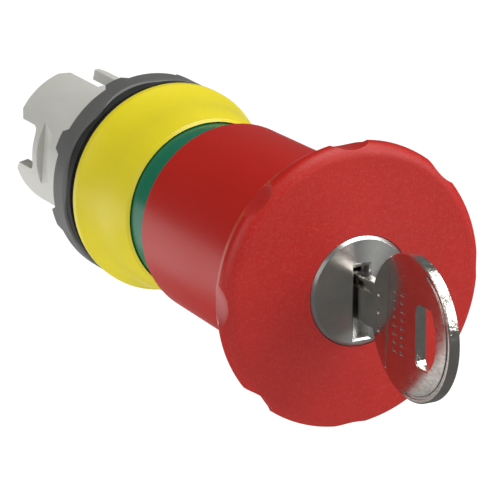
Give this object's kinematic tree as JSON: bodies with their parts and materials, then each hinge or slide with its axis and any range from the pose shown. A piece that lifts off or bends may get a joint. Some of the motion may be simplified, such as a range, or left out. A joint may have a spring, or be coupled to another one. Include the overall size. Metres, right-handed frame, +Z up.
{
  "type": "emergency stop button",
  "caption": "Key-release mushroom head of an emergency stop button for a 22 mm panel hole, red scalloped cap, yellow collar, green indicator band, key in its lock",
  "frame": {"origin": "centre of the panel seat, on the button's axis, where the gasket and the flange ring's lugs meet the panel", "axes": "-Y out of the panel along the button's axis towards the operator, +Z up along the keyway, +X to the operator's right"},
  "size_m": [0.0396, 0.1082, 0.0396],
  "materials": {
    "light_grey_plastic": "moulded, fine satin",
    "dark_grey_plastic": "moulded, satin",
    "black_rubber": "matt",
    "yellow_plastic": "moulded, satin",
    "green_plastic": "glossy",
    "red_plastic": "moulded, satin",
    "black_plastic": "moulded, glass-filled",
    "natural_plastic": "low-friction, turned",
    "zinc": "die-cast, bare",
    "steel": "spun and brushed",
    "spring_steel": "drawn wire",
    "brass": "stamped",
    "nickel": "nickel-plated"
  },
  "bodies": {
    "housing": {"barrel_housing": "light_grey_plastic", "flange_ring": "dark_grey_plastic", "panel_gasket": "black_rubber", "collar_seal": "black_rubber", "yellow_collar": "yellow_plastic", "green_indicator_sleeve": "green_plastic", "guide_sleeve": "natural_plastic", "stem_seal": "black_rubber", "clip_retainer": "natural_plastic", "latch_clip": "spring_steel", "spring_washer": "steel", "return_spring": "spring_steel"},
    "mushroom_head": {"mushroom_cap": "red_plastic", "wiper_seal": "black_rubber", "plunger_stem": "black_plastic", "head_screws": "steel", "plunger_foot": "black_plastic", "foot_screw": "steel", "lock_housing": "zinc"},
    "lock_rotor": {"lock_plug": "steel", "plug_circlip": "spring_steel", "release_shaft": "steel", "release_cam": "steel", "wafer_springs": "spring_steel"},
    "upper_wafer_set": {"upper_wafers": "brass"},
    "lower_wafer_set": {"lower_wafers": "brass"},
    "key_body": {"key": "nickel"}
  },
  "joints": [
    {"name": "push", "type": "slide", "parent": "housing", "child": "mushroom_head", "axis": [0, 1, 0], "range_m": [0, 0.0055], "stiffness_N_per_m": 1500, "springref_m": -0.008, "deforming": ["return_spring", "latch_clip"]},
    {"name": "key_turn", "type": "hinge", "parent": "mushroom_head", "child": "lock_rotor", "pos_m": [0, -0.05, 0], "axis": [0, 1, 0], "range_deg": [0, 45]},
    {"name": "key_slide", "type": "slide", "parent": "lock_rotor", "child": "key_body", "axis": [0, -1, 0], "range_m": [0, 0.024]},
    {"name": "upper_wafer_lift", "type": "slide", "parent": "lock_rotor", "child": "upper_wafer_set", "axis": [0, 0, 1], "range_m": [0, 0.0006], "deforming": ["wafer_springs"]},
    {"name": "lower_wafer_lift", "type": "slide", "parent": "lock_rotor", "child": "lower_wafer_set", "axis": [0, 0, -1], "range_m": [0, 0.0006]}
  ],
  "couplings": [
    {"joint": "upper_wafer_lift", "follows": "key_slide", "ratio": 0.025},
    {"joint": "lower_wafer_lift", "follows": "key_slide", "ratio": 0.025}
  ]
}
